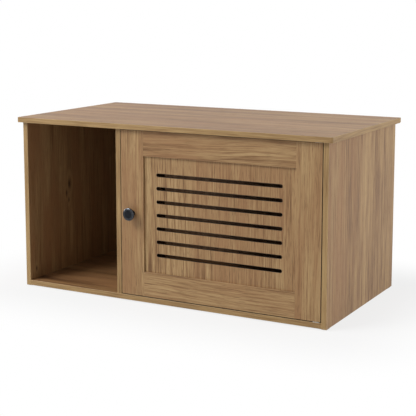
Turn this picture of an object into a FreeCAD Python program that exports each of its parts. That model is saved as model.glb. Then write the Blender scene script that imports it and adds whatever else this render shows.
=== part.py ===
import FreeCAD, Part

import os

from FreeCAD import Vector

# Cat litter box cabinet: an open cubby on the left, a slotted door on the right, and a
# half-depth divider that leaves a way through behind it.
# Millimetres. +X is to the right, the front faces -Y and +Z is up. The origin is on the
# floor, under the middle of the box that holds the whole cabinet and its knob.

# Cabinet boards
top_width = 1000.0
top_depth = 530.0
total_height = 510.0
board = 15.0                   # thickness of the cabinet boards
side_overhang = 14.0           # how far the top stands past each side panel
front_overhang = 10.0
back_overhang = 10.0
top_corner_radius = 5.0
bottom_lift = 1.0              # bottom board above the lower edges of the side panels
cubby_width = 310.0
divider_depth = 246.0
housing_depth = 4.0            # grooves in the top and bottom boards that hold the divider
housing_setback = 14.0         # those grooves behind the divider's front edge
band = 1.0                     # edge band thickness
band_bevel = 0.6

# Back panel in grooves round the carcass
back_thickness = 3.0
back_inset = 8.0               # board left behind the groove
back_groove_depth = 6.0

# Door: two stiles, two rails and a recessed panel with slots
door_thickness = 15.0
door_side_gap = 2.0
door_top_gap = 2.0
door_bottom_gap = 2.5
stile_width = 74.0
rail_width = 71.0
frame_rounding = 0.5
panel_thickness = 5.0
panel_recess = 5.0
panel_groove_depth = 8.0
slot_count = 7
slot_side_margin = 40.0        # panel left between a slot's end and the frame
slot_height = 9.0
slot_pitch = 38.0

# Pivot pins at the right end of the door
pivot_from_edge = 13.0
pivot_from_front = 6.5
pin_radius = 2.5
pin_seat_depth = 10.0
pin_reach = 10.0               # pin inside the bush
bush_radius = 4.0
bush_length = 12.0
flange_length = 18.0           # flange of the bush, in the gap under or over the door
flange_width = 11.5

# Knob
knob_projection = 24.0
knob_radius = 18.0
knob_head_thickness = 7.0
knob_face_bevel = 1.2
knob_foot_radius = 8.5
knob_foot_height = 2.0
knob_neck_radius = 6.5
knob_screw_radius = 2.0
knob_screw_grip = 10.0         # screw inside the knob
knob_screw_head_radius = 4.0
knob_screw_head_height = 2.4

# Magnetic catch on the divider and its strike plate on the door
catch_length = 44.0
catch_depth = 13.0
catch_reach = 14.0             # out from the divider
catch_ear_thickness = 3.0
catch_block_length = 24.0
magnet_length = 18.0
magnet_depth = 9.0
magnet_height = 4.6
pole_thickness = 1.2
pole_proud = 1.0
magnet_gap = 0.3               # poles to strike plate with the door shut
strike_length = 40.0
strike_width = 13.0
strike_thickness = 1.2

# Small wood screws of the catch and the strike plate
screw_radius = 1.4
screw_length = 11.0
screw_head_radius = 2.8
screw_head_height = 1.8

# Cam fittings and dowels that hold the boards together
cam_radius = 7.4
cam_height = 12.0
cam_setback = 34.0             # cam centre from the joint
cam_pocket = 9.0               # pocket's length along the bolt
cam_driver_depth = 2.0
bolt_radius = 2.4
bolt_thread_length = 10.0
bolt_head_radius = 3.4
bolt_head_length = 3.0
bolt_channel_radius = 3.6
cam_from_back = 150.0
dowel_radius = 4.0
dowel_length = 30.0
dowel_in_face = 11.0           # part of a dowel that sits in a board's face
dowel_from_front = 100.0

# Floor glides, stuck under the ends of the side panels
glide_height = 2.0
glide_width = 13.0
glide_length = 20.0
glide_bevel = 0.8
glide_inset = 8.0

# Clearances
press_clearance = 0.05         # pins, bushes and screws in their holes
running_clearance = 0.08       # pivot pins inside their bushes
slip_clearance = 0.1           # dowels, cams and panels in their seats
blind_clearance = 1.0          # air past the end of a dowel or bolt
groove_end_clearance = 0.5
flange_clearance = 0.2         # bush flanges to the cabinet

# Where the boards lie
body_width = top_width - 2 * side_overhang
body_depth = top_depth - front_overhang - back_overhang
front_reach = max(knob_projection, front_overhang)
front = (front_reach - body_depth - back_overhang) / 2
back = front + body_depth
side_outer = body_width / 2
side_inner = side_outer - board
side_middle = side_outer - board / 2
top_under = total_height - board
bottom_under = glide_height + bottom_lift
bottom_top = bottom_under + board
bottom_middle = bottom_under + board / 2
divider_left = cubby_width - side_inner
divider_right = divider_left + board
divider_back = front + divider_depth

# Where the back panel's groove lies
back_groove = (back - back_inset - back_thickness - 2 * slip_clearance, back - back_inset)

# Where the door lies
door_left = divider_right + door_side_gap
door_right = side_inner - door_side_gap
door_bottom = bottom_top + door_bottom_gap
door_top = top_under - door_top_gap
door_back = front + door_thickness
opening_left = door_left + stile_width
opening_right = door_right - stile_width
opening_bottom = door_bottom + rail_width
opening_top = door_top - rail_width
panel_front = front + panel_recess
panel_back = panel_front + panel_thickness
panel_groove = (panel_front - slip_clearance, panel_back + slip_clearance)
pivot_x = door_right - pivot_from_edge
pivot_y = front + pivot_from_front
knob_x = door_left + stile_width / 2
knob_z = (door_bottom + door_top) / 2

# Where the catch and its strike plate lie
strike_middle_x = divider_right + catch_reach / 2 + door_side_gap
catch_front = door_back + strike_thickness + magnet_gap + pole_proud

up = Vector(0, 0, 1)
down = Vector(0, 0, -1)
right = Vector(1, 0, 0)
left = Vector(-1, 0, 0)
forward = Vector(0, -1, 0)
backward = Vector(0, 1, 0)


def block(x, y, z):
    """Box from three (low, high) pairs."""
    return Part.makeBox(x[1] - x[0], y[1] - y[0], z[1] - z[0], Vector(x[0], y[0], z[0]))


def rod(radius, length, base, direction):
    return Part.makeCylinder(radius, length, base, direction)


def rounded_plate(x, y, z, radius):
    """Flat plate whose corners are rounded in plan."""
    plate = block(x, y, z)
    corners = [edge for edge in plate.Edges if abs(edge.tangentAt(0).z) > 0.9]
    return plate.makeFillet(radius, corners)


def place(solid, base, direction):
    """Turn a solid made along +Z to a direction and set it down at a point."""
    solid.Placement = FreeCAD.Placement(base, FreeCAD.Rotation(up, direction))
    return solid


def lathe(points, base, direction):
    """Turned solid from (radius, distance) points that start and end on the axis."""
    corners = [Vector(radius, 0, distance) for radius, distance in points]
    outline = Part.makePolygon(corners + corners[:1])
    return place(Part.Face(outline).revolve(Vector(), up, 360), base, direction)


def edges_in_plane(solid, axis, value):
    """Edges that lie in one plane, such as a front face's."""
    def in_plane(edge):
        return all(abs(getattr(v.Point, axis) - value) < 1e-6 for v in edge.Vertexes)
    return [edge for edge in solid.Edges if in_plane(edge)]


def soften(solid, radius, axis, value):
    return solid.makeFillet(radius, edges_in_plane(solid, axis, value))


def bevel(solid, width, axis, value):
    return solid.makeChamfer(width, edges_in_plane(solid, axis, value))


def driver_slot(head_radius, depth, point, outward):
    """Slot for a screwdriver, cut right across a head from its face."""
    reach = 2 * head_radius
    half_width = head_radius / 8
    slot = block((-reach, reach), (-half_width, half_width), (0, depth))
    return place(slot, point, outward.negative())


# Fastening points of the carcass. Each is the point where the axis crosses the joint
# between two boards, the direction into the board that holds the cam, and the way that
# the cam faces out of it.

def top_joints(y):
    """Each side panel's top edge under the top board."""
    return [(Vector(sign * side_middle, y, top_under), down, inward)
            for sign, inward in ((-1, right), (1, left))]


def bottom_joints(y):
    """Each end of the bottom board against a side panel."""
    return [(Vector(sign * side_inner, y, bottom_middle), inward, down)
            for sign, inward in ((-1, right), (1, left))]


cam_joints = top_joints(back - cam_from_back) + bottom_joints(back - cam_from_back)
dowel_joints = top_joints(front + dowel_from_front)


def cam_mouth(joint):
    """Centre of a cam hole, on the board's face."""
    point, inward, facing = joint
    return point + inward * cam_setback + facing * (board / 2)


def cam_holes(joint):
    """Cam seat, bolt channel and pilot hole of one fitting."""
    point, inward, facing = joint
    seat_radius = cam_radius + slip_clearance
    seat = rod(seat_radius, cam_height + slip_clearance, cam_mouth(joint), facing.negative())
    channel = rod(bolt_channel_radius, cam_setback, point, inward)
    pilot_depth = bolt_thread_length + blind_clearance
    pilot = rod(bolt_radius + press_clearance, pilot_depth, point, inward.negative())
    return seat.fuse([channel, pilot])


def cam_lock(joint):
    """Round cam with a pocket for the bolt's head and a way in for its shank."""
    point, inward, facing = joint
    cam = rod(cam_radius, cam_height, Vector(), down)
    pocket_half = bolt_head_radius + slip_clearance
    way_half = bolt_radius + slip_clearance
    across = (-pocket_half, pocket_half)
    level = (-board / 2 - pocket_half, -board / 2 + pocket_half)
    pocket = block((-cam_pocket / 2, cam_pocket / 2), across, level)
    way_level = (-board / 2 - way_half, -board / 2 + way_half)
    way_in = block((-cam_setback, 0), (-way_half, way_half), way_level)
    cam = cam.cut([pocket, way_in, driver_slot(cam_radius, cam_driver_depth, Vector(), up)])
    turn = FreeCAD.Rotation(inward, Vector(), facing, "ZXY")
    cam.Placement = FreeCAD.Placement(cam_mouth(joint), turn)
    return cam


def cam_bolt(joint):
    """Bolt screwed into one board, its tapered head caught by the cam in the other."""
    point, inward, facing = joint
    head_start = cam_setback - bolt_head_length / 2
    head_end = cam_setback + bolt_head_length / 2
    return lathe([
        (0, -bolt_thread_length),
        (bolt_radius, -bolt_thread_length),
        (bolt_radius, head_start),
        (bolt_head_radius, head_end),
        (0, head_end),
    ], point, inward)


def dowel_hole(joint):
    point, inward, facing = joint
    start = point - inward * (dowel_in_face + blind_clearance)
    length = dowel_length + 2 * blind_clearance
    return rod(dowel_radius + slip_clearance, length, start, inward)


def dowel(joint):
    point, inward, facing = joint
    return rod(dowel_radius, dowel_length, point - inward * dowel_in_face, inward)


def drilled(panel, cuts):
    """Board with its own cuts and whatever part of each fitting's holes falls in it."""
    holes = [cam_holes(joint) for joint in cam_joints] + [dowel_hole(joint) for joint in dowel_joints]
    return panel.cut(cuts + holes).removeSplitter()


# Floor glides

def floor_glides():
    """Four low pads with bevelled lower edges."""
    glides = []
    for middle in (-side_middle, side_middle):
        x = (middle - glide_width / 2, middle + glide_width / 2)
        for low in (front + glide_inset, back - glide_inset - glide_length):
            pad = block(x, (low, low + glide_length), (0, glide_height))
            glides.append(bevel(pad, glide_bevel, "z", 0))
    return Part.makeCompound(glides)


# Pivots

def pin_hole(edge_z, into_board):
    """Seat of a pivot pin in the top or the bottom board."""
    return rod(pin_radius + press_clearance, pin_seat_depth, Vector(pivot_x, pivot_y, edge_z), into_board)


def pivot_pin(board_z, door_z, toward_door):
    start = Vector(pivot_x, pivot_y, board_z) - toward_door * pin_seat_depth
    length = pin_seat_depth + abs(door_z - board_z) + pin_reach
    return rod(pin_radius, length, start, toward_door)


def pivot_bush(door_z, board_z, into_door):
    """Flanged bush in the door's edge. Its flange runs close to the cabinet board."""
    base = Vector(pivot_x, pivot_y, door_z)
    x = (pivot_x - flange_length / 2, pivot_x + flange_length / 2)
    y = (pivot_y - flange_width / 2, pivot_y + flange_width / 2)
    z = sorted((door_z, board_z + into_door.z * flange_clearance))
    bush = rod(bush_radius, bush_length, base, into_door).fuse(block(x, y, z))
    bore_start = base - into_door * bush_length
    return bush.cut(rod(pin_radius + running_clearance, 2 * bush_length, bore_start, into_door))


def bush_hole(door_z, into_door):
    base = Vector(pivot_x, pivot_y, door_z)
    return rod(bush_radius + press_clearance, bush_length, base, into_door)


# Carcass

def divider_housing(edge_z, into_board):
    """Groove in the top or bottom board that holds the divider's edge."""
    x = (divider_left - slip_clearance, divider_right + slip_clearance)
    y = (front + housing_setback, divider_back - band + slip_clearance)
    return block(x, y, sorted((edge_z, edge_z + into_board.z * housing_depth)))


def top_panel():
    """Top board without its edge band, with all that is cut in its underside."""
    x = (-top_width / 2 + band, top_width / 2 - band)
    y = (front - front_overhang + band, back + back_overhang - band)
    slab = rounded_plate(x, y, (top_under, total_height), max(top_corner_radius - band, band))
    groove_end = side_inner + back_groove_depth
    groove = block((-groove_end, groove_end), back_groove, (top_under, top_under + back_groove_depth))
    return drilled(slab, [groove, divider_housing(top_under, up), pin_hole(top_under, up)])


def top_edge_band():
    """Band glued round all four edges of the top board."""
    x = (-top_width / 2, top_width / 2)
    y = (front - front_overhang, back + back_overhang)
    z = (top_under, total_height)
    outer_radius = max(top_corner_radius, 2 * band)
    outer = rounded_plate(x, y, z, outer_radius)
    outer = bevel(outer, band_bevel, "z", total_height)
    outer = bevel(outer, band_bevel, "z", top_under)
    inner = rounded_plate((x[0] + band, x[1] - band), (y[0] + band, y[1] - band), z, outer_radius - band)
    return outer.cut(inner)


def side_panel(sign):
    x = sorted((sign * side_inner, sign * side_outer))
    panel = block(x, (front + band, back), (glide_height, top_under))
    groove_x = sorted((sign * side_inner, sign * (side_inner + back_groove_depth)))
    groove = block(groove_x, back_groove, (glide_height, top_under))
    return drilled(panel, [groove])


def bottom_panel():
    panel = block((-side_inner, side_inner), (front + band, back), (bottom_under, bottom_top))
    groove = block((-side_inner, side_inner), back_groove, (bottom_top - back_groove_depth, bottom_top))
    housing = divider_housing(bottom_top, down)
    return drilled(panel, [groove, housing, pin_hole(bottom_top, down)])


def divider_panel():
    """Divider between the top and bottom boards, its edges let into their grooves."""
    x = (divider_left, divider_right)
    y = (front + band, divider_back - band)
    let_in = housing_depth - slip_clearance
    panel = block(x, y, (bottom_top, top_under))
    tongue_y = (front + housing_setback + slip_clearance, divider_back - band)
    tongues = block(x, tongue_y, (bottom_top - let_in, top_under + let_in))
    holes = [screw_hole(joint) for joint in catch_screw_joints()]
    return panel.fuse(tongues).removeSplitter().cut(holes)


def back_panel():
    reach = side_inner + back_groove_depth - groove_end_clearance
    y = (back_groove[0] + slip_clearance, back_groove[1] - slip_clearance)
    low = bottom_top - back_groove_depth + groove_end_clearance
    high = top_under + back_groove_depth - groove_end_clearance
    return block((-reach, reach), y, (low, high))


def front_band(x, z):
    """Band on the front edge of a board, bevelled on its outer edges."""
    return bevel(block(x, (front, front + band), z), band_bevel, "y", front)


def divider_edge_bands():
    x = (divider_left, divider_right)
    z = (bottom_top, top_under)
    rear = block(x, (divider_back - band, divider_back), z)
    return Part.makeCompound([front_band(x, z), bevel(rear, band_bevel, "y", divider_back)])


# Magnetic catch

def catch_screw_joints():
    """Point on the catch's ears where each screw's head rests, and the way it drives."""
    ear_middle = (catch_length + catch_block_length) / 4
    x = divider_right + catch_ear_thickness
    y = catch_front + catch_depth / 2
    return [(Vector(x, y, knob_z + sign * ear_middle), left) for sign in (-1, 1)]


def screw_hole(joint):
    point, inward = joint
    return rod(screw_radius + press_clearance, screw_length + blind_clearance, point, inward)


def pan_screw(joint):
    point, inward = joint
    screw = lathe([
        (0, -screw_head_height),
        (screw_head_radius, -screw_head_height),
        (screw_head_radius, 0),
        (screw_radius, 0),
        (screw_radius, screw_length),
        (0, screw_length),
    ], point, inward)
    outward = inward.negative()
    head_face = point + outward * screw_head_height
    return screw.cut(driver_slot(screw_head_radius, screw_head_height / 2, head_face, outward))


def catch_body():
    """Moulded block with two screw ears and a cavity for the magnet and its poles."""
    y = (catch_front, catch_front + catch_depth)
    ears = block((divider_right, divider_right + catch_ear_thickness), y,
                 (knob_z - catch_length / 2, knob_z + catch_length / 2))
    middle = block((divider_right, divider_right + catch_reach), y,
                   (knob_z - catch_block_length / 2, knob_z + catch_block_length / 2))
    cavity_x, cavity_z = magnet_cavity()
    cavity = block(cavity_x, (catch_front, catch_front + magnet_depth + slip_clearance), cavity_z)
    return ears.fuse(middle).removeSplitter().cut(cavity).cut([screw_hole(j) for j in catch_screw_joints()])


def magnet_cavity():
    """Width and height of the cavity, as (low, high) pairs."""
    middle = divider_right + catch_reach / 2
    half_width = magnet_height / 2 + pole_thickness + slip_clearance
    half_length = magnet_length / 2 + slip_clearance
    return (middle - half_width, middle + half_width), (knob_z - half_length, knob_z + half_length)


def catch_magnet():
    x, z = magnet_cavity()
    inset = pole_thickness + slip_clearance
    y = (catch_front, catch_front + magnet_depth)
    return block((x[0] + inset, x[1] - inset), y, (z[0] + slip_clearance, z[1] - slip_clearance))


def pole_plates():
    x, z = magnet_cavity()
    y = (catch_front - pole_proud, catch_front + magnet_depth)
    z = (z[0] + slip_clearance, z[1] - slip_clearance)
    near = block((x[0] + slip_clearance, x[0] + slip_clearance + pole_thickness), y, z)
    far = block((x[1] - slip_clearance - pole_thickness, x[1] - slip_clearance), y, z)
    return Part.makeCompound([near, far])


# Door

def stile(x, groove_x):
    body = block(x, (front, door_back), (door_bottom, door_top))
    body = soften(body, frame_rounding, "y", front)
    return body.cut(block(groove_x, panel_groove, (door_bottom, door_top)))


def left_stile():
    groove_x = (opening_left - panel_groove_depth, opening_left)
    return stile((door_left, opening_left), groove_x).cut([knob_hole(), screw_hole(strike_screw_joint())])


def right_stile():
    groove_x = (opening_right, opening_right + panel_groove_depth)
    holes = [bush_hole(door_bottom, up), bush_hole(door_top, down)]
    return stile((opening_right, door_right), groove_x).cut(holes)


def rail(z, groove_z):
    """Rail with a tongue at each end and a groove for the panel."""
    tongue = panel_groove_depth - slip_clearance
    body = block((opening_left, opening_right), (front, door_back), z)
    body = soften(body, frame_rounding, "y", front)
    reach = (opening_left - tongue, opening_right + tongue)
    return body.fuse(block(reach, (panel_front, panel_back), z)).cut(block(reach, panel_groove, groove_z))


def top_rail():
    return rail((opening_top, door_top), (opening_top, opening_top + panel_groove_depth))


def bottom_rail():
    return rail((door_bottom, opening_bottom), (opening_bottom - panel_groove_depth, opening_bottom))


def vent_slot(z):
    """Long slot with round ends, right through the panel."""
    radius = slot_height / 2
    x = (opening_left + slot_side_margin + radius, opening_right - slot_side_margin - radius)
    bar = block(x, (panel_front, panel_back), (z - radius, z + radius))
    ends = [rod(radius, panel_thickness, Vector(end, panel_front, z), backward) for end in x]
    return bar.fuse(ends).removeSplitter()


def slotted_panel():
    reach = panel_groove_depth - groove_end_clearance
    x = (opening_left - reach, opening_right + reach)
    z = (opening_bottom - reach, opening_top + reach)
    panel = block(x, (panel_front, panel_back), z)
    middle = (opening_bottom + opening_top) / 2
    first = middle - slot_pitch * (slot_count - 1) / 2
    return panel.cut([vent_slot(first + slot_pitch * i) for i in range(slot_count)])


# Knob

def knob_hole():
    """Clearance hole through the stile for the knob's screw."""
    return rod(knob_screw_radius + slip_clearance, door_thickness, Vector(knob_x, front, knob_z), backward)


def knob():
    """Turned knob: a foot, a narrow neck and a bevelled head, with a hole for the screw."""
    head_back = knob_projection - knob_head_thickness
    hole_radius = knob_screw_radius + press_clearance
    hole_end = knob_screw_grip + blind_clearance
    return lathe([
        (0, hole_end),
        (hole_radius, hole_end),
        (hole_radius, 0),
        (knob_foot_radius, 0),
        (knob_foot_radius, knob_foot_height),
        (knob_neck_radius, knob_foot_height),
        (knob_neck_radius, head_back),
        (knob_radius, head_back),
        (knob_radius, knob_projection - knob_face_bevel),
        (knob_radius - knob_face_bevel, knob_projection),
        (0, knob_projection),
    ], Vector(knob_x, front, knob_z), forward)


def knob_screw():
    """Machine screw from behind the door into the knob."""
    base = Vector(knob_x, door_back, knob_z)
    length = door_thickness + knob_screw_grip
    screw = lathe([
        (0, -knob_screw_head_height),
        (knob_screw_head_radius, -knob_screw_head_height),
        (knob_screw_head_radius, 0),
        (knob_screw_radius, 0),
        (knob_screw_radius, length),
        (0, length),
    ], base, forward)
    head_face = base + backward * knob_screw_head_height
    slot_depth = knob_screw_head_height / 2
    return screw.cut(driver_slot(knob_screw_head_radius, slot_depth, head_face, backward))


# Strike plate

def strike_screw_joint():
    """Point on the strike plate's face above its screw, and the way the screw drives."""
    return Vector(strike_middle_x, door_back + strike_thickness, knob_z), forward


def strike_plate():
    """Steel plate with a countersunk hole."""
    x = (strike_middle_x - strike_width / 2, strike_middle_x + strike_width / 2)
    y = (door_back, door_back + strike_thickness)
    plate = block(x, y, (knob_z - strike_length / 2, knob_z + strike_length / 2))
    point, inward = strike_screw_joint()
    wide = screw_head_radius + slip_clearance
    narrow = screw_radius + slip_clearance
    return plate.cut(Part.makeCone(wide, narrow, strike_thickness, point, inward))


def strike_screw():
    """Screw whose head lies flush with the strike plate's face."""
    point, inward = strike_screw_joint()
    screw = lathe([
        (0, 0),
        (screw_head_radius, 0),
        (screw_radius, strike_thickness),
        (screw_radius, screw_length),
        (0, screw_length),
    ], point, inward)
    return screw.cut(driver_slot(screw_head_radius, strike_thickness / 2, point, inward.negative()))


def group(make, places):
    """Separate solids of one kind, kept together."""
    return Part.makeCompound([make(item) for item in places])


def build():
    side_z = (glide_height, top_under)
    return {
        "top_panel": top_panel(),
        "top_edge_band": top_edge_band(),
        "left_side_panel": side_panel(-1),
        "left_side_edge_band": front_band((-side_outer, -side_inner), side_z),
        "right_side_panel": side_panel(1),
        "right_side_edge_band": front_band((side_inner, side_outer), side_z),
        "bottom_panel": bottom_panel(),
        "bottom_edge_band": front_band((-side_inner, side_inner), (bottom_under, bottom_top)),
        "divider_panel": divider_panel(),
        "divider_edge_bands": divider_edge_bands(),
        "back_panel": back_panel(),
        "cam_locks": group(cam_lock, cam_joints),
        "cam_bolts": group(cam_bolt, cam_joints),
        "board_dowels": group(dowel, dowel_joints),
        "floor_glides": floor_glides(),
        "lower_pivot_pin": pivot_pin(bottom_top, door_bottom, up),
        "upper_pivot_pin": pivot_pin(top_under, door_top, down),
        "catch_body": catch_body(),
        "catch_magnet": catch_magnet(),
        "catch_pole_plates": pole_plates(),
        "catch_screws": group(pan_screw, catch_screw_joints()),
        "door_left_stile": left_stile(),
        "door_right_stile": right_stile(),
        "door_top_rail": top_rail(),
        "door_bottom_rail": bottom_rail(),
        "door_slotted_panel": slotted_panel(),
        "lower_pivot_bush": pivot_bush(door_bottom, bottom_top, up),
        "upper_pivot_bush": pivot_bush(door_top, top_under, down),
        "knob": knob(),
        "knob_screw": knob_screw(),
        "strike_plate": strike_plate(),
        "strike_screw": strike_screw(),
    }


os.makedirs("parts", exist_ok=True)
for name, shape in build().items():
    shape.exportStep(f"parts/{name}.step")
    state = "valid" if shape.isValid() else "NOT VALID"
    print(f"{name}: {len(shape.Solids)} solids, {shape.Volume / 1000:.2f} cm3, {state}")
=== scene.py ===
from math import pi, radians

import bmesh
import bpy
from mathutils import Euler, Matrix, Vector


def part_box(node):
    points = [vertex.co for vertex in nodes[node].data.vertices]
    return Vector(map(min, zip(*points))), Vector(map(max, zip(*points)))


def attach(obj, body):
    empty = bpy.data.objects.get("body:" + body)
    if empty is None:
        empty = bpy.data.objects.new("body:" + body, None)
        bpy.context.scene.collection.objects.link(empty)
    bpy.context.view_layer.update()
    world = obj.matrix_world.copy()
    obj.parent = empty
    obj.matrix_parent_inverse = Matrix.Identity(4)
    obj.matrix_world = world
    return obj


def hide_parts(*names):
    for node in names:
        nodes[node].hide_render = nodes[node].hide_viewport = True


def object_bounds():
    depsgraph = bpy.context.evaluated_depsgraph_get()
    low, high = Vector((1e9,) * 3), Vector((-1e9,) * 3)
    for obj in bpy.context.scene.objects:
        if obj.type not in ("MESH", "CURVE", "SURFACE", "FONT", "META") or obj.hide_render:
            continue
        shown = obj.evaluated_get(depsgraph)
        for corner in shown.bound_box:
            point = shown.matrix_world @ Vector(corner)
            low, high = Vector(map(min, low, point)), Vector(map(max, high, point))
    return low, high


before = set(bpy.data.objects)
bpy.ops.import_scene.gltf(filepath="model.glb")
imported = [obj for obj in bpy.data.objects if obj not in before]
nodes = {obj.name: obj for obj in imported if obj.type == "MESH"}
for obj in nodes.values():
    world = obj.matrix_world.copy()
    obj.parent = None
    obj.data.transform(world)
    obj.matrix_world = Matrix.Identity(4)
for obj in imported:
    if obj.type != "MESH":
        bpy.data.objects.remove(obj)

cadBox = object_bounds()
print("frame loaded:", len(nodes), "nodes")


def shade(red, green, blue):
    # a colour as seen on screen, 0 to 255, as the linear colour that a socket takes
    linear = []
    for part in (red, green, blue):
        level = part / 255
        linear.append(level / 12.92 if level <= 0.04045 else ((level + 0.055) / 1.055) ** 2.4)
    return (*linear, 1.0)


class Wire:
    # a socket that can stand in a sum
    def __init__(self, paint, end):
        self.paint = paint
        self.end = end

    def maths(self, operation, first, second):
        return self.paint.node("Math", {"operation": operation}, {0: first, 1: second})

    def __add__(self, other):
        return self.maths("ADD", self, other)

    def __radd__(self, other):
        return self.maths("ADD", other, self)

    def __sub__(self, other):
        return self.maths("SUBTRACT", self, other)

    def __rsub__(self, other):
        return self.maths("SUBTRACT", other, self)

    def __mul__(self, other):
        return self.maths("MULTIPLY", self, other)

    def __rmul__(self, other):
        return self.maths("MULTIPLY", other, self)

    def __abs__(self):
        return self.maths("ABSOLUTE", self, 0.0)

    def lower(self, other):
        return self.maths("MINIMUM", self, other)

    def higher(self, other):
        return self.maths("MAXIMUM", self, other)


class Paint:
    # one material and its nodes
    def __init__(self, name, tree=None):
        self.material = None
        if tree is None:
            self.material = bpy.data.materials.new(name)
            self.material.use_nodes = True
            tree = self.material.node_tree
        self.tree = tree
        tree.nodes.clear()

    def node(self, kind, settings, inputs, output=0):
        made = self.tree.nodes.new("ShaderNode" + kind)
        for name, value in settings.items():
            if name == "stops":
                self.setStops(made.color_ramp.elements, value)
            else:
                setattr(made, name, value)
        for key, value in inputs.items():
            if isinstance(value, Wire):
                self.tree.links.new(value.end, made.inputs[key])
            else:
                made.inputs[key].default_value = value
        return Wire(self, made.outputs[output]) if made.outputs else made

    def setStops(self, elements, stops):
        while len(elements) < len(stops):
            elements.new(1.0)
        for element, (position, colour) in zip(elements, stops):
            element.position = position
            element.color = colour

    def place(self):
        return self.node("TexCoord", {}, {}, "Object")

    def vector(self, operation, first, second):
        return self.node("VectorMath", {"operation": operation}, {0: first, 1: second})

    def unsigned(self, first):
        return self.node("VectorMath", {"operation": "ABSOLUTE"}, {0: first})

    def length(self, first):
        return self.node("VectorMath", {"operation": "LENGTH"}, {0: first}, "Value")

    def axis(self, first, letter):
        return self.node("SeparateXYZ", {}, {0: first}, letter)

    def joined(self, x, y, z):
        return self.node("CombineXYZ", {}, {0: x, 1: y, 2: z})

    def noise(self, vector, scale, detail=2.0, roughness=0.5, output="Fac"):
        wires = {"Vector": vector, "Scale": scale, "Detail": detail, "Roughness": roughness}
        return self.node("TexNoise", {}, wires, output)

    def soften(self, value, start, end):
        # 0 at start and before, 1 at end and past it
        wires = {"Value": value, "From Min": start, "From Max": end}
        return self.node("MapRange", {"interpolation_type": "SMOOTHSTEP"}, wires)

    def between(self, value, rising, falling):
        # 1 from one place to another, with soft sides
        return self.soften(value, *rising) * (1 - self.soften(value, *falling))

    def ramp(self, value, stops):
        return self.node("ValToRGB", {"stops": stops}, {0: value})

    def mix(self, share, first, second):
        return self.node("Mix", {"data_type": "RGBA"}, {0: share, 6: first, 7: second}, 2)

    def bump(self, height, distance):
        return self.node("Bump", {}, {"Height": height, "Distance": distance})

    def surface(self, inputs):
        shader = self.node("BsdfPrincipled", {}, inputs)
        self.node("OutputMaterial", {}, {"Surface": shader})
        return self.material


def insideBox(paint, place, low, high):
    # how far in a place lies from the faces of a box, along each axis
    fromMiddle = paint.vector("SUBTRACT", place, (low + high) / 2)
    return paint.vector("SUBTRACT", (high - low) / 2, paint.unsigned(fromMiddle))


# width is how far the paler painted highlight along the edges comes in from an edge, and from and to are
# shares of it between which it fades
arrisHighlight = {
    "uneven": 90, "from": 0.4, "to": 1.4,
    "board": {"width": 0.0011, "share": 0.45},
    "band": {"width": 0.0012, "share": 0.55},
}


def arris(paint, place, node, width):
    # 1 along the edges of a board, where a paler painted highlight goes, from how near two of its faces are
    inside = insideBox(paint, place, *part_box(node))
    x = paint.axis(inside, "X")
    y = paint.axis(inside, "Y")
    z = paint.axis(inside, "Z")
    second = x.lower(y).higher(x.higher(y).lower(z))
    uneven = paint.noise(place, arrisHighlight["uneven"], 2) * width
    return 1 - paint.soften(second + uneven, width * arrisHighlight["from"], width * arrisHighlight["to"])


woodTones = {
    "pore": shade(84, 55, 32),
    "dark": shade(122, 88, 54),
    "middle": shade(157, 124, 84),
    "light": shade(180, 149, 105),
    "red": shade(150, 111, 74),
    "knot": shade(44, 26, 14),
    # edge is the paler colour of the painted highlight along the boards' edges
    "edge": shade(190, 162, 120),
}

bandTones = {
    "pore": shade(100, 71, 40),
    "dark": shade(132, 101, 62),
    "middle": shade(162, 131, 87),
    "light": shade(182, 153, 106),
    # edge is the paler colour of the painted highlight along the bands' edges
    "edge": shade(196, 170, 126),
}

doorGapShade = shade(58, 40, 26)    # painted shade on the door's outer edge faces, which darkens the gaps round the door
slotShadeColour = shade(22, 15, 10)    # painted shade in and round the slots
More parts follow.
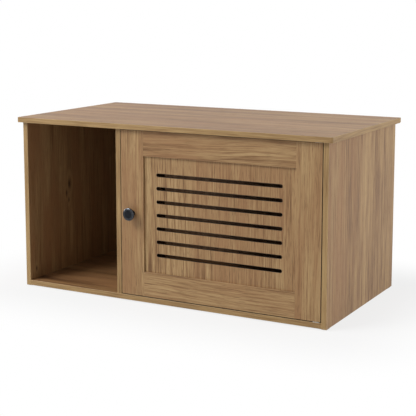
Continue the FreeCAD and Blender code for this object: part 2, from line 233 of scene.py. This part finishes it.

# heart is a point on the middle of the tree that the board seems cut from, and turn lays its grain along it
# wander is how far the rings stray, and wide and stripe are how close the broad rings and the streaks lie
# broad, streak, fine and hair are how strongly each layer of grain shows, and ticks how dark the pores are
# tone makes the whole board paler or darker
# warm is how much reddish wood there is: the axis that it changes along, two places on it, the share at each
# strips are paler or darker bands: the axis across each, its middle, half its width and the change of level
# knots are in the board's right face: how far back each is, how high, and its radius
# rim and core are colours of painted shade: on the door's outer edge faces, darkening the gaps round the
# door, and in and round the slots
boards = {
    "top_panel": {
        "heart": (0, 0.62, 0.22), "turn": (0.5, -90, 0), "seed": 1.3,
        "wander": 0.010, "wide": 20, "stripe": 36,
        "broad": 0.45, "streak": 0.75, "fine": 0.95, "hair": 0.50, "tone": -0.05, "ticks": 0.38,
        "warm": ("X", -0.5, 0.5, 0.55, 0.50),
        "strips": [("Y", -0.140, 0.030, -0.06), ("Y", 0.110, 0.050, 0.05), ("X", -0.20, 0.50, -0.07)],
    },
    "left_side_panel": {
        "heart": (-0.60, -0.42, 0.2), "turn": (0.5, 0.4, 0), "seed": 4.1,
        "wander": 0.006, "wide": 12, "stripe": 60,
        "broad": 0.45, "streak": 0.80, "fine": 0.90, "hair": 0.70, "tone": 0.08, "ticks": 0.42,
        "warm": ("Y", -0.25, 0.1, 1.0, 0.7),
        "knots": [
            (-0.043, 0.281, 0.012), (-0.057, 0.254, 0.007), (-0.046, 0.231, 0.006), (-0.218, 0.048, 0.005),
        ],
    },
    "right_side_panel": {
        "heart": (0.30, 0.62, 0.2), "turn": (0.2, -0.2, 0), "seed": 7.7,
        "wander": 0.004, "wide": 9, "stripe": 60,
        "broad": 0.20, "streak": 0.70, "fine": 1.00, "hair": 0.80, "tone": -0.03, "ticks": 0.42,
        "warm": ("Y", -0.22, 0.06, 0.80, 0.10),
        "strips": [("Y", 0.030, 0.050, 0.12), ("Y", 0.230, 0.040, 0.07), ("Y", -0.080, 0.040, -0.04)],
    },
    "bottom_panel": {
        "heart": (0, -0.5, -0.1), "turn": (0.4, -90, 0), "seed": 2.9,
        "wander": 0.006, "wide": 14, "stripe": 36,
        "broad": 0.50, "streak": 1.25, "fine": 1.00, "hair": 0.50, "tone": -0.18, "ticks": 0.40,
        "warm": ("X", -0.5, 0.5, 0.8, 0.8),
    },
    "divider_panel": {
        "heart": (-0.30, 0.3, 0.2), "turn": (0.4, 0.5, 0), "seed": 5.6,
        "wander": 0.007, "wide": 12,
        "broad": 0.50, "streak": 0.55, "fine": 1.00, "hair": 0.60, "tone": -0.05, "ticks": 0.40,
        "warm": ("Y", -0.25, 0.1, 0.5, 0.6),
    },
    "door_left_stile": {
        "heart": (-0.40, -0.10, 0.2), "turn": (0.2, 0.3, 0), "seed": 8.4,
        "wander": 0.006, "wide": 14,
        "broad": 0.40, "streak": 0.46, "fine": 1.10, "hair": 0.80, "tone": 0.05, "ticks": 0.50,
        "warm": ("X", -0.144, -0.07, 0.5, 0.8), "rim": doorGapShade,
    },
    "door_right_stile": {
        "heart": (0.66, -0.12, 0.2), "turn": (0.2, -0.3, 0), "seed": 3.2,
        "wander": 0.006, "wide": 14,
        "broad": 0.40, "streak": 0.46, "fine": 1.10, "hair": 0.80, "tone": 0.12, "ticks": 0.50,
        "warm": ("X", 0.395, 0.469, 0.8, 0.5), "rim": doorGapShade,
    },
    "door_top_rail": {
        "heart": (0.16, -0.14, 0.54), "turn": (0.2, -89, 0), "seed": 6.5,
        "wander": 0.010, "wide": 16,
        "broad": 0.45, "streak": 0.60, "fine": 0.90, "hair": 0.80, "tone": 0.03, "ticks": 0.40,
        "warm": ("Z", 0.422, 0.493, 0.9, 0.4), "rim": doorGapShade,
    },
    "door_bottom_rail": {
        "heart": (0.10, -0.14, -0.10), "turn": (0.3, -90.6, 0), "seed": 9.1,
        "wander": 0.008, "wide": 14,
        "broad": 0.35, "streak": 0.55, "fine": 1.05, "hair": 0.80, "tone": 0.05, "ticks": 0.46,
        "warm": ("Z", 0.02, 0.09, 0.2, 0.5), "rim": doorGapShade,
    },
    "door_slotted_panel": {
        "heart": (-0.24, -0.02, 0.2), "turn": (0.15, 0.2, 0), "seed": 1.9,
        "wander": 0.006, "wide": 10,
        "broad": 0.22, "streak": 0.38, "fine": 1.25, "hair": 1.05, "tone": 0.05, "ticks": 0.62,
        "warm": ("X", 0.02, 0.14, 0.10, 0.65), "core": slotShadeColour,
        "strips": [
            ("X", 0.045, 0.080, 0.09), ("X", 0.080, 0.016, 0.05), ("X", 0.104, 0.010, -0.09),
            ("X", -0.060, 0.014, 0.16), ("X", -0.040, 0.012, -0.07),
        ],
    },
}


# squash is how much a distance counts along each axis, least along the grain
# the pairs are shares of a knot's radius between which its heart and the pale ring round it fade
knotWood = {
    "squash": (3.0, 1.0, 0.42), "pullEnd": 2.8, "pull": 0.85, "heart": (0.10, 0.85),
    "ringIn": (0.75, 1.15), "ringOut": (1.2, 2.0), "ringShare": 0.40, "heartShare": 0.8,
}


def knotFlow(paint, place, bent, face, knots):
    # the grain parts round each knot in one face of an upright board, and darkens at its heart
    dark = None
    pale = None
    for y, z, radius in knots:
        heart, ringIn, ringOut = [
            [radius * share for share in knotWood[part]] for part in ("heart", "ringIn", "ringOut")
        ]
        away = paint.vector("SUBTRACT", place, (face, y, z))
        squashed = paint.vector("MULTIPLY", away, knotWood["squash"])
        distance = paint.length(squashed)
        pull = 1 - paint.soften(distance, 0.0, radius * knotWood["pullEnd"])
        shove = paint.vector("MULTIPLY", squashed, paint.joined(0.0, pull * knotWood["pull"], 0.0))
        bent = paint.vector("SUBTRACT", bent, shove)
        core = 1 - paint.soften(distance, *heart)
        ring = paint.between(distance, ringIn, ringOut)
        dark = core if dark is None else dark.higher(core)
        pale = ring if pale is None else pale.higher(ring)
    return bent, dark, pale


sway = {"scale": 5, "width": 0.016}


def flowSide(paint, log):
    # a slow sideways sway along the grain, so that a strip isn't ruled
    drift = paint.noise(paint.joined(0.0, 0.0, paint.axis(log, "Z")), sway["scale"], 2)
    return (drift - 0.5) * sway["width"]


# straight is a slot's length between its round ends, and lap is how far the painted shade of the slots comes
# out onto the face
slots = {
    "count": 7, "pitch": 0.038, "height": 0.009, "straight": 0.376,
    "lap": 0.0007, "lapFrom": 0.5, "lapTo": 1.5, "rowFade": 0.001,
    "skin": 0.0003, "skinFade": 0.0002,
}


def slotLapShade(paint, place, node):
    # 1 where the painted shade of the slots laps onto the panel's face
    low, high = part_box(node)
    middle = (low + high) / 2
    x = paint.axis(place, "X") - middle.x
    z = paint.axis(place, "Z") - middle.z
    pitch = slots["pitch"]
    reach = pitch * slots["count"] / 2
    offRow = paint.node("Math", {"operation": "WRAP"}, {0: z, 1: pitch / 2, 2: -pitch / 2})
    pastEnd = (abs(x) - slots["straight"] / 2).higher(0.0)
    away = paint.length(paint.joined(pastEnd, 0.0, offRow)) - slots["height"] / 2
    rows = 1 - paint.soften(abs(z), reach - slots["rowFade"], reach)
    lap = 1 - paint.soften(away, slots["lap"] * slots["lapFrom"], slots["lap"] * slots["lapTo"])
    return rows * lap


def slotShadeMask(paint, place, node):
    # 1 in the slots, between the panel's two skins, and on the lap round them: the places given painted
    # shade
    low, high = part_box(node)
    skin = (high.y - low.y) / 2 - slots["skin"]
    depth = abs(paint.axis(place, "Y") - (low.y + high.y) / 2)
    core = 1 - paint.soften(depth, skin - slots["skinFade"], skin)
    return core.higher(slotLapShade(paint, place, node))


# from and to are the distances in from the door's outer faces between which the painted shade on its edges
# fades out
doorGapShadeFade = {"from": 0.0001, "to": 0.0004}


def doorGapShadeMask(paint, place):
    # 1 on the outer edge faces of the whole door, where painted shade darkens the gaps round it
    inside = insideBox(paint, place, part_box("door_left_stile")[0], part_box("door_right_stile")[1])
    nearest = paint.axis(inside, "X").lower(paint.axis(inside, "Z"))
    return 1 - paint.soften(nearest, doorGapShadeFade["from"], doorGapShadeFade["to"])


# along is how much a layer changes along the board beside across it, and scale is how close it lies
# squash draws a layer's marks out along the grain, and from and to are the levels between which they come in
foil = {
    "flow": {"squash": (1.0, 1.0, 0.30), "scale": 8},
    "broad": {"along": 0.10, "seed": 0},
    "streak": {"along": 0.035, "seed": 3, "scale": 80},
    "fine": {"along": 0.022, "seed": 5, "scale": 230},
    "hair": {"along": 0.020, "seed": 8, "scale": 700},
    "patches": {"along": 0.12, "seed": 11, "scale": 24, "from": 0.34, "to": 0.62, "sway": 0.25},
    "pores": {"squash": (1.0, 1.0, 0.045), "scale": 640, "from": 0.57, "to": 0.70},
    "dashes": {"squash": (1.0, 1.0, 0.075), "scale": 250, "from": 0.56, "to": 0.70, "share": 0.7},
    "stops": {"pore": 0.10, "dark": 0.32, "middle": 0.53, "light": 0.84},
    "shine": {"rough": 0.5, "fine": 0.16, "pores": 0.10, "wearAndHighlight": 0.06, "specular": 0.36},
    "relief": {"hair": 0.5, "fine": 0.3, "pores": 0.9, "depth": 0.00006},
}


def woodRamp(paint, level, tones, stops):
    return paint.ramp(level, [(stop, tones[tone]) for tone, stop in stops.items()])


def strokes(paint, log, marks):
    # short dark marks along the grain
    shown = paint.noise(paint.vector("MULTIPLY", log, marks["squash"]), marks["scale"], 2)
    return paint.soften(shown, marks["from"], marks["to"])


def laminate(name, board):
    # wood-grain foil: growth rings cut through by the board, streaks, hairlines and pores
    paint = Paint(name)
    place = paint.place()
    turn = Euler([radians(angle) for angle in board["turn"]])
    start = -(turn.to_matrix() @ Vector(board["heart"]))
    log = paint.node("Mapping", {}, {"Vector": place, "Location": start, "Rotation": turn})
    drawn = paint.vector("MULTIPLY", log, foil["flow"]["squash"])
    clouds = paint.noise(drawn, foil["flow"]["scale"], 1, output="Color")
    flow = paint.vector("SUBTRACT", clouds, (0.5, 0.5, 0.5))
    bent = paint.vector("ADD", log, paint.vector("MULTIPLY", flow, (board["wander"] * 2,) * 3))
    if "knots" in board:
        bent, knotted, ringed = knotFlow(paint, place, bent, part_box(board["node"])[1].x, board["knots"])
    ring = paint.length(paint.vector("MULTIPLY", bent, (1.0, 1.0, 0.0)))
    along = paint.axis(log, "Z")

    def layer(habit, scale, detail=2):
        # noise that follows the rings and is drawn out along the board
        point = paint.joined(ring, along * habit["along"], board["seed"] + habit["seed"])
        return paint.noise(point, scale, detail)

    broad = layer(foil["broad"], board["wide"])
    streak = layer(foil["streak"], board.get("stripe", foil["streak"]["scale"]))
    fine = layer(foil["fine"], foil["fine"]["scale"])
    hair = layer(foil["hair"], foil["hair"]["scale"])
    pores = strokes(paint, log, foil["pores"])
    dashes = strokes(paint, log, foil["dashes"])
    level = (
        0.5 + board["tone"]
        + (broad - 0.5) * board["broad"]
        + (streak - 0.5) * board["streak"]
        + (fine - 0.5) * board["fine"]
        + (hair - 0.5) * board["hair"]
    )
    for letter, centre, width, change in board.get("strips", []):
        off = abs(paint.axis(place, letter) + flowSide(paint, log) - centre)
        level = level + (1 - paint.soften(off, 0.0, width)) * change
    wood = woodRamp(paint, level, woodTones, foil["stops"])

    spots = foil["patches"]
    letter, first, last, firstShare, lastShare = board["warm"]
    drift = paint.soften(paint.axis(place, letter) + (broad - 0.5) * spots["sway"], first, last)
    patches = paint.soften(layer(spots, spots["scale"], 3), spots["from"], spots["to"])
    wood = paint.mix(patches * (firstShare + drift * (lastShare - firstShare)), wood, woodTones["red"])
    wood = paint.mix(dashes * board["ticks"] * foil["dashes"]["share"], wood, woodTones["dark"])
    wood = paint.mix(pores * board["ticks"], wood, woodTones["pore"])
    if "knots" in board:
        wood = paint.mix(ringed * knotWood["ringShare"], wood, woodTones["light"])
        wood = paint.mix(knotted * knotWood["heartShare"], wood, woodTones["knot"])

    # a paler painted highlight along the board's edges, where the arrises would catch the light
    wearAndHighlight = arris(paint, place, board["node"], arrisHighlight["board"]["width"])
    # the door's outer edge faces get painted shade, darkening the gaps round the door
    if "rim" in board:
        rim = doorGapShadeMask(paint, place)
        wearAndHighlight = wearAndHighlight * (1 - rim)
        wood = paint.mix(rim, wood, board["rim"])
    # the slots' cut faces and a thin lap round them get painted shade, so the slots read dark
    if "core" in board:
        core = slotShadeMask(paint, place, board["node"])
        wearAndHighlight = wearAndHighlight * (1 - core)
        wood = paint.mix(core, wood, board["core"])
    wood = paint.mix(wearAndHighlight * arrisHighlight["board"]["share"], wood, woodTones["edge"])

    shine = foil["shine"]
    relief = hair * foil["relief"]["hair"] + fine * foil["relief"]["fine"] - pores * foil["relief"]["pores"]
    return paint.surface({
        "Base Color": wood,
        "Roughness": (
            shine["rough"] + (fine - 0.5) * shine["fine"] + pores * shine["pores"] - wearAndHighlight * shine["wearAndHighlight"]
        ),
        "Specular IOR Level": shine["specular"],
        "Normal": paint.bump(relief, foil["relief"]["depth"]),
    })


def dress(node, material):
    held = nodes[node].data.materials
    held.clear()
    held.append(material)


for node, board in boards.items():
    board["node"] = node
    dress(node, laminate("laminate_" + node, board))
print("boards dressed:", len(boards))


# a flat band runs along the top or the bottom board, and the others stand upright
edgeBands = {
    "top_edge_band": {"seed": 0.7, "flat": True, "tone": -0.01},
    "bottom_edge_band": {"seed": 2.2, "flat": True, "tone": 0.0},
    "left_side_edge_band": {"seed": 3.6, "flat": False, "tone": 0.09},
    "right_side_edge_band": {"seed": 5.1, "flat": False, "tone": 0.04},
    "divider_edge_bands": {"seed": 6.8, "flat": False, "tone": -0.06},
}


# across and along are how much a layer changes in each direction, and share is how strongly it shows
bandGrain = {
    "drift": {"scale": 9, "width": 0.006},
    "broad": {"across": 0.5, "along": 0.16, "seed": 0, "scale": 34, "share": 0.5},
    "streak": {"across": 1.0, "along": 0.035, "seed": 2, "scale": 240, "share": 0.7},
    "hair": {"across": 1.0, "along": 0.020, "seed": 4, "scale": 900, "share": 0.4},
    "pores": {"from": 0.62, "to": 0.78, "share": 0.25},
    "stops": {"pore": 0.10, "dark": 0.32, "middle": 0.54, "light": 0.84},
    "shine": {"rough": 0.48, "streak": 0.14, "specular": 0.36},
    "reliefDepth": 0.00005,
}


def edgeBand(name, node, band):
    # a thin strip whose streaks run along it, and round the corners of the top
    look = bandGrain
    paint = Paint(name)
    place = paint.place()
    x = paint.axis(place, "X")
    y = paint.axis(place, "Y")
    z = paint.axis(place, "Z")
    along = x + y if band["flat"] else z
    across = z if band["flat"] else x + y
    stray = paint.noise(paint.joined(along, band["seed"], 0.0), look["drift"]["scale"], 2)
    line = across + stray * look["drift"]["width"]

    def layer(habit):
        point = paint.joined(line * habit["across"], along * habit["along"], band["seed"] + habit["seed"])
        return paint.noise(point, habit["scale"], 2)

    broad = layer(look["broad"])
    streak = layer(look["streak"])
    hair = layer(look["hair"])
    pores = paint.soften(hair, look["pores"]["from"], look["pores"]["to"])
    level = (
        0.5 + band["tone"]
        + (broad - 0.5) * look["broad"]["share"]
        + (streak - 0.5) * look["streak"]["share"]
        + (hair - 0.5) * look["hair"]["share"]
    )
    wood = woodRamp(paint, level, bandTones, look["stops"])
    # a paler painted highlight along the band's edges, where the arrises would catch the light
    wearAndHighlight = arris(paint, place, node, arrisHighlight["band"]["width"])
    wood = paint.mix(pores * look["pores"]["share"], wood, bandTones["pore"])
    wood = paint.mix(wearAndHighlight * arrisHighlight["band"]["share"], wood, bandTones["edge"])
    return paint.surface({
        "Base Color": wood,
        "Roughness": look["shine"]["rough"] + (streak - 0.5) * look["shine"]["streak"],
        "Specular IOR Level": look["shine"]["specular"],
        "Normal": paint.bump(hair - pores, look["reliefDepth"]),
    })


for node, band in edgeBands.items():
    dress(node, edgeBand("band_" + node, node, band))
print("edge bands dressed:", len(edgeBands))


# along is how much the printed grain changes up the board beside across it
backBoard = {
    "front": shade(150, 118, 84), "streak": shade(118, 88, 60),
    "back": shade(112, 80, 50), "fleck": shade(84, 58, 36),
    "skinFade": 0.0004,
    "grain": {"along": 0.05, "seed": 3.0, "scale": 60, "share": 0.7},
    "hair": {"along": 0.02, "seed": 7.0, "scale": 500, "share": 0.3, "relief": 0.3},
    "fibre": {"scale": 900, "rough": 0.7, "share": 0.7},
    "clump": {"scale": 60, "share": 0.3},
    "printed": (0.35, 0.65), "pressed": (0.38, 0.62),
    "roughFront": 0.55, "roughBehind": 0.3, "reliefDepth": 0.00012,
}


def hardboard():
    # printed with grain on the side that shows inside, bare pressed fibre behind
    look = backBoard
    paint = Paint("hardboard")
    place = paint.place()
    low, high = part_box("back_panel")
    x = paint.axis(place, "X")
    y = paint.axis(place, "Y")
    z = paint.axis(place, "Z")
    middle = (low.y + high.y) / 2
    behind = paint.soften(y, middle, middle + look["skinFade"])
    streak = paint.noise(
        paint.joined(x, z * look["grain"]["along"], look["grain"]["seed"]), look["grain"]["scale"], 3,
    )
    hair = paint.noise(
        paint.joined(x, z * look["hair"]["along"], look["hair"]["seed"]), look["hair"]["scale"], 2,
    )
    fibre = paint.noise(place, look["fibre"]["scale"], 4, look["fibre"]["rough"])
    clump = paint.noise(place, look["clump"]["scale"], 3)
    lines = paint.soften(streak * look["grain"]["share"] + hair * look["hair"]["share"], *look["printed"])
    felt = paint.soften(fibre * look["fibre"]["share"] + clump * look["clump"]["share"], *look["pressed"])
    printed = paint.mix(lines, look["streak"], look["front"])
    pressed = paint.mix(felt, look["fleck"], look["back"])
    return paint.surface({
        "Base Color": paint.mix(behind, printed, pressed),
        "Roughness": look["roughFront"] + behind * look["roughBehind"],
        "Normal": paint.bump(fibre * behind + hair * look["hair"]["relief"], look["reliefDepth"]),
    })


dress("back_panel", hardboard())
print("back dressed")


knobShape = {
    "steps": 96, "same": 1e-6,
    "foot": 0.0085, "footHeight": 0.0020, "waist": 0.0072, "waistRise": 0.0010, "neck": 0.0078,
    "headBack": 0.0072, "backInset": 0.0012, "backRise": 0.0004, "sideRise": 0.0020,
    "rimWidth": 0.0028, "rimDrop": 0.0016,
    "dishRim": 0.0140, "dishFloor": 0.0112, "dishDepth": 0.0012, "crown": 0.0015,
}


def ringEdges(bm, radius, height):
    # the edges that run round the knob at one radius and height
    near = knobShape["same"]
    found = []
    for edge in bm.edges:
        if all(abs(v.co.z - height) < near and abs(v.co.xy.length - radius) < near for v in edge.verts):
            found.append(edge)
    return found


def buildKnob():
    # a waisted neck and a head with a dished face, turned about its own axis
    shape = knobShape
    low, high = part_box("knob")
    radius = (high.x - low.x) / 2
    reach = high.y - low.y
    headBack = reach - shape["headBack"]
    # each corner: its radius and height, and how far and in how many steps it is rounded
    corners = [
        (0.0, 0.0, 0.0, 0),
        (shape["foot"], 0.0, 0.0, 0),
        (shape["foot"], shape["footHeight"], 0.0006, 3),
        (shape["waist"], shape["footHeight"] + shape["waistRise"], 0.0020, 5),
        (shape["neck"], headBack, 0.0040, 8),
        (radius - shape["backInset"], headBack + shape["backRise"], 0.0006, 3),
        (radius, headBack + shape["sideRise"], 0.0008, 3),
        (radius, reach - shape["rimDrop"], 0.0007, 4),
        (radius - shape["rimWidth"], reach, 0.0007, 4),
        (shape["dishRim"], reach, 0.0005, 4),
        (shape["dishFloor"], reach - shape["dishDepth"], 0.0012, 5),
        (0.0, reach - shape["crown"], 0.0, 0),
    ]
    bm = bmesh.new()
    chain = [bm.verts.new((corner[0], 0.0, corner[1])) for corner in corners]
    for first, second in zip(chain, chain[1:]):
        bm.edges.new((first, second))
    bmesh.ops.spin(
        bm, geom=bm.verts[:] + bm.edges[:], cent=(0, 0, 0), axis=(0, 0, 1),
        angle=2 * pi, steps=shape["steps"], use_merge=True,
    )
    bmesh.ops.remove_doubles(bm, verts=bm.verts, dist=shape["same"])
    bmesh.ops.recalc_face_normals(bm, faces=bm.faces)
    for r, h, offset, segments in corners:
        if segments:
            bmesh.ops.bevel(
                bm, geom=ringEdges(bm, r, h), offset=offset, segments=segments, profile=0.5,
                affect="EDGES", material=-1,
            )
    middle = (low + high) / 2
    outward = Matrix.Rotation(pi / 2, 4, "X")  # the spin's +Z becomes -Y, out of the door
    bmesh.ops.transform(bm, matrix=outward, verts=bm.verts)
    bmesh.ops.translate(bm, vec=(middle.x, high.y, middle.z), verts=bm.verts)
    bmesh.ops.recalc_face_normals(bm, faces=bm.faces)
    mesh = bpy.data.meshes.new("turned_knob")
    bm.to_mesh(mesh)
    bm.free()
    for polygon in mesh.polygons:
        polygon.use_smooth = True
    knob = bpy.data.objects.new("turned_knob", mesh)
    bpy.context.scene.collection.objects.link(knob)
    return knob


# the rim and lip pairs are radii between which the paler metal of a painted highlight comes in and goes out
# again
knobLook = {
    "metal": shade(40, 42, 46), "smoke": shade(27, 29, 33), "paintedSheen": shade(72, 75, 80),
    "faceFrom": 0.002, "faceTo": 0.004, "mottle": 300, "turned": 2600, "plating": (0.35, 0.7),
    "rimIn": (0.0150, 0.0160), "rimOut": (0.0174, 0.0179),
    "lipIn": (0.0112, 0.0124), "lipOut": (0.0138, 0.0142), "lipShare": 0.6,
    "metallic": 0.9, "rough": 0.17, "roughMottle": 0.10, "roughTurned": 0.08,
    "mottleRelief": 0.3, "reliefDepth": 0.00002,
}


def knobFinish():
    # smoky plated metal with fine turning marks on its face, and a painted highlight of paler metal on the
    # rim and round the dish
    look = knobLook
    paint = Paint("knobMetal")
    place = paint.place()
    low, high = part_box("knob")
    middle = (low + high) / 2
    centred = paint.node("Mapping", {}, {"Vector": place, "Location": (-middle.x, 0.0, -middle.z)})
    radial = paint.length(paint.vector("MULTIPLY", centred, (1.0, 0.0, 1.0)))
    front = 1 - paint.soften(paint.axis(place, "Y"), low.y + look["faceFrom"], low.y + look["faceTo"])
    mottle = paint.noise(place, look["mottle"], 3)
    turned = paint.noise(paint.joined(radial, 0.0, 1.0), look["turned"], 2)
    # paler metal on the rim's chamfer and round the dish's lip: a painted highlight
    rim = paint.between(radial, look["rimIn"], look["rimOut"]) * front
    lipSheen = paint.between(radial, look["lipIn"], look["lipOut"]) * front
    plating = paint.mix(paint.soften(mottle, *look["plating"]), look["smoke"], look["metal"])
    return paint.surface({
        "Base Color": paint.mix(rim.higher(lipSheen * look["lipShare"]), plating, look["paintedSheen"]),
        "Metallic": look["metallic"],
        "Roughness": (
            look["rough"] + (mottle - 0.5) * look["roughMottle"] + (turned - 0.5) * look["roughTurned"]
        ),
        "Normal": paint.bump(turned * front + mottle * look["mottleRelief"], look["reliefDepth"]),
    })


knob = buildKnob()
knob.data.materials.append(knobFinish())
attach(knob, "door")
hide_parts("knob")
dress("knob", knob.data.materials[0])
print("knob turned:", len(knob.data.polygons), "faces")


fittings = {
    "steel": {
        "pieces": [
            "cam_bolts", "lower_pivot_pin", "upper_pivot_pin", "catch_pole_plates", "catch_screws",
            "knob_screw", "strike_plate", "strike_screw",
        ],
        "clean": shade(196, 197, 200), "wearAndHighlight": shade(158, 158, 160),
        "metal": 1.0, "rough": 0.30, "grain": 700,
    },
    "zinc": {
        "pieces": ["cam_locks"],
        "clean": shade(186, 187, 190), "wearAndHighlight": shade(146, 147, 150),
        "metal": 1.0, "rough": 0.44, "grain": 500,
    },
    "glide": {
        "pieces": ["floor_glides"],
        "clean": shade(34, 33, 32), "wearAndHighlight": shade(56, 54, 52),
        "metal": 0.0, "rough": 0.55, "grain": 900,
    },
    "nylon": {
        "pieces": ["lower_pivot_bush", "upper_pivot_bush"],
        "clean": shade(184, 182, 176), "wearAndHighlight": shade(160, 157, 150),
        "metal": 0.0, "rough": 0.42, "grain": 600,
    },
    "catchPlastic": {
        "pieces": ["catch_body"],
        "clean": shade(96, 72, 52), "wearAndHighlight": shade(74, 54, 38),
        "metal": 0.0, "rough": 0.46, "grain": 800,
    },
    "magnet": {
        "pieces": ["catch_magnet"],
        "clean": shade(66, 66, 68), "wearAndHighlight": shade(46, 46, 48),
        "metal": 0.35, "rough": 0.6, "grain": 1100,
    },
}


mottled = {
    "patch": 70, "patchShare": 0.65, "grainShare": 0.35, "wearAndHighlight": (0.42, 0.64),
    "roughWorn": 0.12, "roughGrain": 0.10, "reliefDepth": 0.00003,
}


def fitting(name, look):
    # moulded, cast or plated: a fine mottle, with slightly duller patches
    paint = Paint(name)
    place = paint.place()
    patch = paint.noise(place, mottled["patch"], 3)
    grain = paint.noise(place, look["grain"], 3, 0.6)
    wearAndHighlight = paint.soften(patch * mottled["patchShare"] + grain * mottled["grainShare"], *mottled["wearAndHighlight"])
    return paint.surface({
        "Base Color": paint.mix(wearAndHighlight, look["clean"], look["wearAndHighlight"]),
        "Metallic": look["metal"],
        "Roughness": look["rough"] + wearAndHighlight * mottled["roughWorn"] + (grain - 0.5) * mottled["roughGrain"],
        "Normal": paint.bump(grain, mottled["reliefDepth"]),
    })


for name, look in fittings.items():
    material = fitting(name, look)
    for node in look["pieces"]:
        dress(node, material)


beech = {
    "pale": shade(214, 184, 140), "ray": shade(186, 150, 104), "squash": (1.0, 1.0, 0.08), "scale": 900,
    "rays": (0.38, 0.66), "rough": 0.62, "roughGrain": 0.15, "reliefDepth": 0.00005,
}


def dowelWood():
    # bare beech with short rays along the dowel
    paint = Paint("beech")
    grain = paint.noise(paint.vector("MULTIPLY", paint.place(), beech["squash"]), beech["scale"], 3)
    return paint.surface({
        "Base Color": paint.mix(paint.soften(grain, *beech["rays"]), beech["pale"], beech["ray"]),
        "Roughness": beech["rough"] + (grain - 0.5) * beech["roughGrain"],
        "Normal": paint.bump(grain, beech["reliefDepth"]),
    })


dress("board_dowels", dowelWood())
print("fittings dressed")


# nearWhite is how white the floor is shown at the cabinet, and fadeTo how far out it is plain white
studio = {
    "floorSize": 60.0, "floorColour": 0.68, "ambient": 0.32, "nearWhite": 0.78, "fadeTo": 0.36,
    "aim": (0.0, 0.0, 0.25),
    "lamps": {
        "keyLamp": {"from": (-2.5, -2.9, 3.9), "size": (2.4, 2.4), "power": 200.0},
        "sideLamp": {"from": (3.9, 0.6, 1.3), "size": (2.4, 2.4), "power": 72.0},
        "stripLamp": {"from": (-3.5, -0.95, 1.35), "size": (0.6, 1.4), "power": 32.0},
        "backLamp": {"from": (0.0, 4.3, 0.4), "size": (0.9, 0.8), "power": 46.0},
    },
}


def seenRays(paint):
    # 1 for what the camera sees, by itself or in a shiny or clear thing
    camera = paint.node("LightPath", {}, {}, "Is Camera Ray")
    glossy = paint.node("LightPath", {}, {}, "Is Glossy Ray")
    through = paint.node("LightPath", {}, {}, "Is Transmission Ray")
    return (camera + glossy + through).lower(1.0)


def floorFinish():
    # catches the cabinet's shadow, and goes over to plain white away from it
    paint = Paint("paleFloor")
    matt = paint.node("BsdfDiffuse", {}, {"Color": (studio["floorColour"],) * 3 + (1.0,)})
    white = paint.node("Emission", {}, {"Color": (1.0, 1.0, 1.0, 1.0), "Strength": 1.0})
    low, high = cadBox
    half = Vector((high.x - low.x, high.y - low.y, 0.0)) / 2
    spread = paint.vector("SUBTRACT", paint.unsigned(paint.place()), half)
    outside = paint.vector("MAXIMUM", spread, (0.0, 0.0, 0.0))
    away = paint.soften(paint.length(outside), 0.0, studio["fadeTo"])
    share = seenRays(paint) * (studio["nearWhite"] + away * (1 - studio["nearWhite"]))
    both = paint.node("MixShader", {}, {0: share, 1: matt, 2: white})
    paint.node("OutputMaterial", {}, {"Surface": both})
    return paint.material


def buildStudio():
    bm = bmesh.new()
    bmesh.ops.create_grid(bm, x_segments=1, y_segments=1, size=studio["floorSize"] / 2)
    mesh = bpy.data.meshes.new("floor")
    bm.to_mesh(mesh)
    bm.free()
    floor = bpy.data.objects.new("floor", mesh)
    bpy.context.scene.collection.objects.link(floor)
    floor.data.materials.append(floorFinish())

    world = bpy.data.worlds.new("studio")
    world.use_nodes = True
    bpy.context.scene.world = world
    paint = Paint("sky", world.node_tree)
    seen = seenRays(paint)
    strength = studio["ambient"] + seen * (1.0 - studio["ambient"])
    sky = paint.node("Background", {}, {"Color": (1.0, 1.0, 1.0, 1.0), "Strength": strength})
    paint.node("OutputWorld", {}, {"Surface": sky})

    for name, lamp in studio["lamps"].items():
        light = bpy.data.lights.new(name, "AREA")
        light.shape = "RECTANGLE"
        light.size, light.size_y = lamp["size"]
        light.energy = lamp["power"]
        holder = bpy.data.objects.new(name, light)
        holder.location = lamp["from"]
        toward = Vector(studio["aim"]) - Vector(lamp["from"])
        holder.rotation_euler = toward.to_track_quat("-Z", "Y").to_euler()
        bpy.context.scene.collection.objects.link(holder)


buildStudio()
bpy.context.scene.view_settings.view_transform = "Standard"
print("studio lit")


shot = {
    "place": (1.5492, -2.8504, 0.8644), "pitch": 8.327, "yaw": 28.509,
    "focalPixels": 1109.6, "framePixels": 416, "shift": -0.12, "sensor": 36.0,
}


def buildCamera():
    data = bpy.data.cameras.new("camera")
    data.sensor_width = shot["sensor"]
    data.lens = shot["focalPixels"] / shot["framePixels"] * data.sensor_width
    data.shift_y = shot["shift"]
    camera = bpy.data.objects.new("camera", data)
    camera.location = shot["place"]
    camera.rotation_euler = (radians(90 - shot["pitch"]), 0.0, radians(shot["yaw"]))
    bpy.context.scene.collection.objects.link(camera)
    bpy.context.scene.camera = camera


buildCamera()
print("camera placed")
